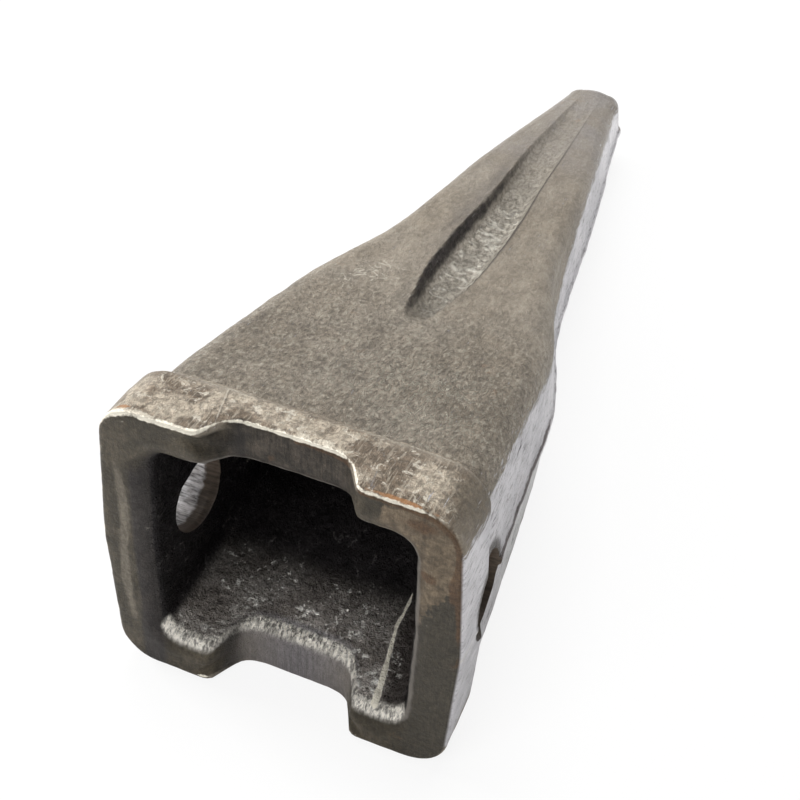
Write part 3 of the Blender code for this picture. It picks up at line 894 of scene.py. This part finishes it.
def side_colour(m, n, colour):
    """Side walls: bare, bright and streaked along their length, lighter on their lower half as a
    painted reflection of the floor, and the trimmed flash with a painted highlight under it and painted
    shade over it.
    """
    sheet = m.blend(m.step(m.noise(12.0, 3.0), 0.4, 0.6), *SHEET)
    # painted reflection of the floor on the lower half of the sides past the shoulder
    sheet = m.over(sheet, LOWER_SIDE_REFLECTION, m.mask("lower_side"), 0.7)
    sheet = m.tint(sheet, m.step(n.hair, 0.32, 0.58, 0.72, 1.05))
    dashes = m.step(m.noise(0.9, 3.0, 0.6, 0.0, (1.0, 4.2, 1.3)), 0.57, 0.63)
    sheet = m.over(sheet, DASHES, m.mul(dashes, m.mask("pitted")), 0.75)
    colour = m.blend(n.bare, colour, sheet)
    colour = m.blend(m.step(m.mask("pits"), 0.1, 0.5, 0.0, 0.75), colour, PITS)
    mouth = m.tint(HOLE_MOUTH, m.step(n.grain, 0.35, 0.65, 0.5, 1.6))
    colour = m.blend(m.mask("mouth"), colour, mouth)
    # painted highlight in a line under the flash, painted shade in a line over it that breaks up past
    # the shoulder
    side = m.mask("side")
    parting = m.add(n.up, m.about(m.noise(6.0, 4.0, 0.6), 1.6))
    colour = m.over(colour, FLASH_HIGHLIGHT, m.mul(m.line(parting, -0.7, 0.8), side), 0.6)
    broken = m.number(m.step(n.along, 84.0, 104.0), 1.0, m.step(n.medium, 0.48, 0.6, 0.0, 0.5))
    kept = m.mul(broken, m.step(n.along, 24.0, 40.0))
    flash = m.mul(m.line(parting, 1.15, 0.65), m.mul(side, kept))
    return m.blend(m.step(flash, 0.2, 0.8, 0.0, 0.85), colour, FLASH_SHADE)


def rim_colour(m, n, colour):
    """Front of the rim: dark scale ground along its width, browner on the right, made darker still with
    painted shade of a face turned to the front.
    """
    # dark scale of the rim, darkened further with painted shade
    face = m.blend(m.step(m.noise(14.0, 4.0, 0.6), 0.42, 0.58), *RIM_SCALE_AND_SHADE)
    face = m.over(face, RIM_SHADED, m.mask("shaded"), 0.8)
    face = m.over(face, RIM_BAND, m.ragged(m.mask("band"), n.medium, 1.3, 0.35, 0.85), 0.75)
    # tan over a ragged slanting line, olive under it
    level = m.add(n.up, m.mul(m.sub(43.0, n.across), 1.7))
    level = m.add(level, m.about(m.noise(4.5, 4.0, 0.6), 26.0))
    upper = m.step(level, 14.5, 16.5)
    patchy = m.noise(7.0, 5.0, 0.6)
    tan = m.mul(m.ragged(m.mask("tan"), patchy, 1.5, 0.4, 0.6, 0.9), upper)
    face = m.blend(tan, face, m.tint(RIM_TAN, m.step(n.medium, 0.38, 0.62, 0.72, 1.3)))
    olive = m.mul(m.ragged(m.mask("olive"), patchy, 1.5, 0.46, 0.56, 0.9), m.rest(upper))
    face = m.blend(olive, face, RIM_OLIVE)
    # the upper notch darker, partly its own scale and partly painted shade
    notch = m.mask("notch")
    face = m.over(face, m.tint(NOTCH_SCALE_AND_SHADE, m.step(n.medium, 0.38, 0.62, 0.55, 1.7)), notch, 0.75)
    face = m.blend(m.ragged(m.mask("brown"), patchy, 1.5, 0.4, 0.8, 0.8), face, RIM_BROWN)
    face = m.tint(face, m.step(n.ground, 0.36, 0.64, m.number(notch, 0.9, 0.62), 1.12))
    face = m.tint(face, m.step(n.grain, 0.38, 0.62, 0.74, 1.3))
    return m.blend(m.mask("front"), colour, face)


def pocket_colour(m, n, colour):
    """Socket: walls painted near black as shade, an oily floor with painted light from the mouth
    inwards and painted glints, painted glints on the walls, and a painted highlight along its edge.
    """
    floor_share = m.mask("pocket_floor")
    nearer = m.mask("nearer")
    # painted shade: the socket's walls near black
    wall = m.tint(POCKET_WALL_SHADE, m.step(n.medium, 0.3, 0.7, 0.6, 1.5))
    floor = m.blend(m.step(m.noise(11.0, 4.0), 0.4, 0.62), *POCKET_FLOOR)
    floor = m.tint(floor, m.step(n.grain, 0.38, 0.62, 0.72, 1.3))
    # painted light on the floor, brighter near the mouth and fading inwards
    floor = m.tint(floor, m.number(nearer, 0.7, 1.9))
    floor = m.over(floor, HOLLOW, m.mask("hollow"), 0.85)
    # past the land the floor fades into the walls' painted shade
    inside = m.blend(floor_share, wall, floor)
    # painted glints on the floor, a few more near the mouth
    glints = m.step(m.add(m.noise(2.1, 4.0, 0.75), m.mul(nearer, 0.06)), 0.59, 0.64)
    glints = m.mul(m.mul(glints, floor_share), m.step(m.noise(12.0, 2.0), 0.4, 0.52))
    inside = m.over(inside, GLINTS, glints, 0.9)
    # painted glints on the socket's walls
    wall_glints = m.mul(m.step(m.noise(4.0, 5.0, 0.75, 0.8), 0.59, 0.66), m.rest(floor_share))
    inside = m.over(inside, WALL_GLINTS, wall_glints, 0.35)
    colour = m.blend(m.mask("inner"), colour, inside)
    # painted highlight along the inner edge of the rim
    return m.over(colour, POCKET_EDGE_HIGHLIGHT, m.ragged(m.mask("flare"), n.medium, 0.8, 0.4, 0.9), 0.75)


def lower_lip_colour(m, n, colour):
    """Lower notch, the inner edge of the lip, burnished and with a painted highlight, the folds with
    painted shade, and the punch's seam.
    """
    face = m.tint(NOTCH_FACE, m.step(n.ground, 0.3, 0.7, 0.75, 1.2))
    colour = m.blend(m.mask("low_notch"), colour, face)
    # burnished inner edge of the lower lip, brightened further as a painted highlight
    polish_and_highlight = m.tint(LIP_POLISH_AND_HIGHLIGHT, m.step(n.streak, 0.38, 0.6, 0.28, 1.2))
    colour = m.blend(m.step(m.mask("lower_lip"), 0.12, 0.7), colour, polish_and_highlight)
    # painted shade in the folds
    colour = m.over(colour, FOLD_SHADE, m.mask("fold"), 0.78)
    return m.blend(n.seam, colour, SEAM)


def wear_colour(m, n, colour):
    """A long scratch across the collar with painted shade along one side, rust, and the worn edge along
    the top of the rim.
    """
    astray = m.add(m.add(n.across, 17.0), m.mul(n.along, 0.27))
    reach = m.mul(m.mask("collar"), m.step(n.along, 19.0, 22.0, 1.0, 0.0))
    reach = m.mul(reach, m.step(n.up, 20.0, 22.0))
    reach = m.mul(reach, m.step(n.medium, 0.36, 0.5, 0.3, 1.0))
    colour = m.over(colour, SCRATCH_LIGHT, m.mul(m.line(astray, 0.0, 0.3), reach), 0.55)
    # painted shade along one side of the scratch
    colour = m.over(colour, SCRATCH_SHADE, m.mul(m.line(astray, 0.5, 0.4), reach), 0.5)
    colour = m.over(colour, RUST_SPOTS, n.spots, 0.35)
    colour = m.over(colour, RUST, n.rust, 0.85)
    worn = m.mul(m.mask("edge"), m.step(m.noise(11.0, 3.0), 0.38, 0.58, 0.85, 1.15))
    worn = m.ragged(worn, m.noise(5.0, 5.0, 0.75), 2.4, 0.4, 0.8)
    return m.over(colour, WORN_EDGE, worn, 0.95)


def steel_roughness(m, n):
    rough = m.step(n.grain, 0.3, 0.7, 0.42, 0.6)
    for share, value in ((m.mask("tip"), 0.4),
                         (m.mul(m.mask("trough"), 0.8), 0.3),
                         (n.bare, m.step(n.hair, 0.3, 0.7, 0.24, 0.42)),
                         (m.mask("inner"), m.step(n.grain, 0.35, 0.65, 0.22, 0.42)),
                         (m.mask("lower_lip"), m.step(n.streak, 0.3, 0.7, 0.2, 0.36)),
                         (m.mask("front"), 0.48)):
        rough = m.number(share, rough, value)
    return rough


def steel_metallic(m, n):
    metal = m.number(n.bare, 0.35, 0.88)
    for share, value in ((m.mul(m.mask("trough"), 0.6), 0.7), (m.mask("inner"), 0.5),
                         (m.mask("lower_lip"), 0.9), (n.seam, 0.0), (m.mask("front"), 0.15),
                         (m.add(n.rust, n.spots), 0.0)):
        metal = m.number(share, metal, value)
    return metal


def steel_height(m, n):
    """Height for the bump: grain on the scale, hair lines on the sides, lumps on the floor."""
    front = m.mask("front")
    height = m.add(m.mul(n.sand, 0.75), m.mul(m.noise(0.45, 3.0, 0.7), 0.3))
    height = m.add(height, m.mul(n.crackle, 1.1))
    height = m.add(height, m.mul(m.add(n.lump, n.medium), 0.45))
    height = m.mul(height, m.number(m.mask("tip"), 1.0, 0.45))
    height = m.mul(height, m.number(m.mask("near"), 1.0, 2.5))
    height = m.mul(height, m.number(n.bare, 1.0, 0.3))
    height = m.add(height, m.mul(m.mul(n.hair, n.bare), 0.25))
    height = m.mul(height, m.number(front, 1.0, 0.4))
    height = m.add(height, m.mul(m.mul(n.ground, front), 0.1))
    height = m.add(height, m.mul(m.mul(n.streak, m.mask("lower_lip")), 0.5))
    return m.add(height, m.mul(m.mul(m.noise(2.6, 4.0, 0.6), m.mask("pocket_floor")), 1.6))


def forged_steel():
    m = Looks("forged_steel")
    n = shared_nodes(m)
    colour = scale_colour(m, n)
    for paint in (collar_colour, trough_colour, side_colour, rim_colour, pocket_colour,
                  lower_lip_colour, wear_colour):
        colour = paint(m, n, colour)
    return m.finish(colour, steel_roughness(m, n), steel_metallic(m, n), steel_height(m, n),
                    STEEL_BUMP)


def bored_steel():
    """Pin hole: bright turned metal at its left end, brown scale along the rest, with painted shade
    towards the bottom and painted light towards the top.
    """
    m = Looks("bored_steel")
    streak = m.noise(0.9, 4.0, 0.65, 0.0, (7.0, 1.0, 1.0))
    medium = m.noise(4.0, 4.0, 0.65)
    across, _, up = m.axes()
    scaled = m.ragged(across, medium, 6.0, -40.6, -39.0)
    colour = m.blend(m.step(medium, 0.4, 0.6), *BORE)
    colour = m.tint(colour, m.step(streak, 0.36, 0.62, 0.35, 1.0))
    colour = m.blend(scaled, colour, m.tint(BORE_SCALE, m.step(streak, 0.3, 0.7, 0.6, 1.4)))
    # painted shade towards the bottom of the bore, painted light towards its top
    colour = m.tint(colour, m.step(up, -11.0, 3.0, 0.5, 1.22))
    roughness = m.number(scaled, m.step(streak, 0.3, 0.7, 0.24, 0.42), 0.5)
    return m.finish(colour, roughness, m.number(scaled, 0.5, 0.3), streak, BORE_BUMP)


# The tooth

def bored(tooth, cutter_mesh):
    """Mesh of the tooth with the pin hole cut through it."""
    cutter = linked("bore_cutter", cutter_mesh)
    bore = tooth.modifiers.new("bore", "BOOLEAN")
    bore.operation = "DIFFERENCE"
    bore.solver = "EXACT"
    bore.object = cutter
    bore.material_mode = "TRANSFER"
    bpy.context.view_layer.update()
    cut = bpy.data.meshes.new_from_object(tooth.evaluated_get(bpy.context.evaluated_depsgraph_get()))
    tooth.modifiers.clear()
    bpy.data.objects.remove(cutter)
    return cut


def store_masks(mesh, points, flat, masks):
    """Gives every vertex its place in the tooth's frame and the masks of the grid's nearest point."""
    world = to_world(flat)
    tree = kdtree.KDTree(len(world))
    for i, point in enumerate(world):
        tree.insert(point, i)
    tree.balance()
    nearest = np.array([tree.find(point)[1] for point in points])
    local = np.linalg.inv(np.array(LAY))
    place = (points @ local[:3, :3].T + local[:3, 3]) / MM
    layer = mesh.attributes.new("place", "FLOAT_VECTOR", "POINT")
    layer.data.foreach_set("vector", place.ravel())
    for name, values in masks.items():
        values = np.append(values, (values[0], values[-1]))
        layer = mesh.attributes.new(name, "FLOAT", "POINT")
        layer.data.foreach_set("value", values[nearest])


def make_tooth():
    upper, zones = quarter_rows(UPPER_NOTCH)
    lower, zones = quarter_rows(LOWER_NOTCH)
    grid, masks = form(full_rows(upper, lower), zones)
    mesh, flat = closed_mesh("tooth_skin", grid)
    mesh.materials.append(forged_steel())
    mesh.materials.append(bored_steel())
    tooth = linked("tooth_skin", mesh)
    cutter_mesh = bore_cutter()
    cutter_mesh.materials.append(mesh.materials[1])
    cut = bored(tooth, cutter_mesh)
    tooth.data = cut
    points = np.empty(len(cut.vertices) * 3)
    cut.vertices.foreach_get("co", points)
    points = np.clip(points.reshape(-1, 3), np.array(cad_low), np.array(cad_high))
    cut.vertices.foreach_set("co", points.ravel())
    store_masks(cut, points, flat, masks)
    cut.shade_smooth()
    cut.set_sharp_from_angle(angle=math.radians(SHARP_ANGLE))
    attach(tooth, "root")
    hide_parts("tooth")


# Floor, light and camera

FLOOR = ((-4.0, -4.0, 0.0), (4.0, -4.0, 0.0), (4.0, 4.0, 0.0), (-4.0, 4.0, 0.0))
FLOOR_COLOUR = (0.93, 0.93, 0.925, 1.0)
FLOOR_GLOW = 0.87
SKY_LIGHT = 0.34
# Name, place, size and watts
LAMPS = (("over", (-0.15, 0.45, 1.3), 0.9, 14.0),
         ("left", (-1.15, 0.1, 0.75), 0.4, 11.0),
         ("front", (-0.25, -0.85, 0.95), 0.6, 5.0))
LAMP_AIM = (0.0, 0.0, 0.04)
# The picture and the focal length in pixels
PICTURE = 800.0
FOCAL = 1506.236
# Azimuth, elevation and roll of the camera in degrees
CAMERA_ANGLES = (21.308, 40.74, 3.166)
# Place of the camera to its right, up and back, in units of the fit, and the unit in metres
CAMERA_AT = (31.03, 47.193, 374.85)
CAMERA_UNIT = 0.00102
CAMERA_LIFT = 0.0019
SENSOR = 36.0


def make_floor():
    """White floor, paler to the camera than by its shading alone."""
    mesh = bpy.data.meshes.new("floor")
    mesh.from_pydata(FLOOR, [], [(0, 1, 2, 3)])
    floor = linked("floor", mesh)
    material = bpy.data.materials.new("floor")
    tree = empty_tree(material)
    matt = put(tree, "BsdfDiffuse", {"Color": FLOOR_COLOUR})
    white = put(tree, "Emission", {"Color": (1, 1, 1, 1), "Strength": 1.0})
    path = put(tree, "LightPath")
    share = put(tree, "Math", {0: path.outputs["Is Camera Ray"], 1: FLOOR_GLOW},
                operation="MULTIPLY")
    both = put(tree, "MixShader", {0: share.outputs[0], 1: matt.outputs[0], 2: white.outputs[0]})
    put(tree, "OutputMaterial", {"Surface": both.outputs[0]})
    mesh.materials.append(material)


def make_lights():
    """Grey light from all round, white to the camera, and three lamps."""
    world = bpy.data.worlds.new("world")
    bpy.context.scene.world = world
    tree = empty_tree(world)
    path = put(tree, "LightPath")
    seen = put(tree, "Math", {0: path.outputs["Is Camera Ray"], 1: path.outputs["Is Transmission Ray"]},
               operation="ADD", use_clamp=True)
    strength = put(tree, "MapRange", {"Value": seen.outputs[0], "To Min": SKY_LIGHT, "To Max": 1.0})
    back = put(tree, "Background", {"Color": (1, 1, 1, 1), "Strength": strength.outputs[0]})
    put(tree, "OutputWorld", {"Surface": back.outputs[0]})
    for name, place, size, watts in LAMPS:
        lamp = bpy.data.lights.new(name, "AREA")
        lamp.shape = "SQUARE"
        lamp.size = size
        lamp.energy = watts
        light = linked(name, lamp)
        light.location = place
        light.rotation_mode = "QUATERNION"
        light.rotation_quaternion = (Vector(place) - Vector(LAMP_AIM)).to_track_quat("Z", "Y")


def make_camera():
    """Camera recovered from the photograph, in the tooth's own frame."""
    azimuth, elevation, roll = (math.radians(angle) for angle in CAMERA_ANGLES)
    back = Vector((math.sin(azimuth) * math.cos(elevation),
                   -math.cos(azimuth) * math.cos(elevation), math.sin(elevation)))
    right = (-back).cross(Vector((0, 0, 1))).normalized()
    up = right.cross(-back)
    turned_right = right * math.cos(roll) + up * math.sin(roll)
    turned_up = -right * math.sin(roll) + up * math.cos(roll)
    centre = turned_right * CAMERA_AT[0] + turned_up * CAMERA_AT[1] + back * CAMERA_AT[2]
    centre = centre * CAMERA_UNIT + Vector((0, 0, CAMERA_LIFT))
    matrix = Matrix((turned_right, turned_up, back)).transposed().to_4x4()
    matrix.translation = centre
    data = bpy.data.cameras.new("camera")
    data.sensor_width = SENSOR
    data.lens = FOCAL / PICTURE * SENSOR
    data.clip_start = 0.02
    data.clip_end = 20.0
    camera = linked("camera", data)
    camera.matrix_world = LAY @ matrix
    bpy.context.scene.camera = camera


make_tooth()
make_floor()
make_lights()
make_camera()
bpy.context.scene.view_settings.view_transform = "Standard"
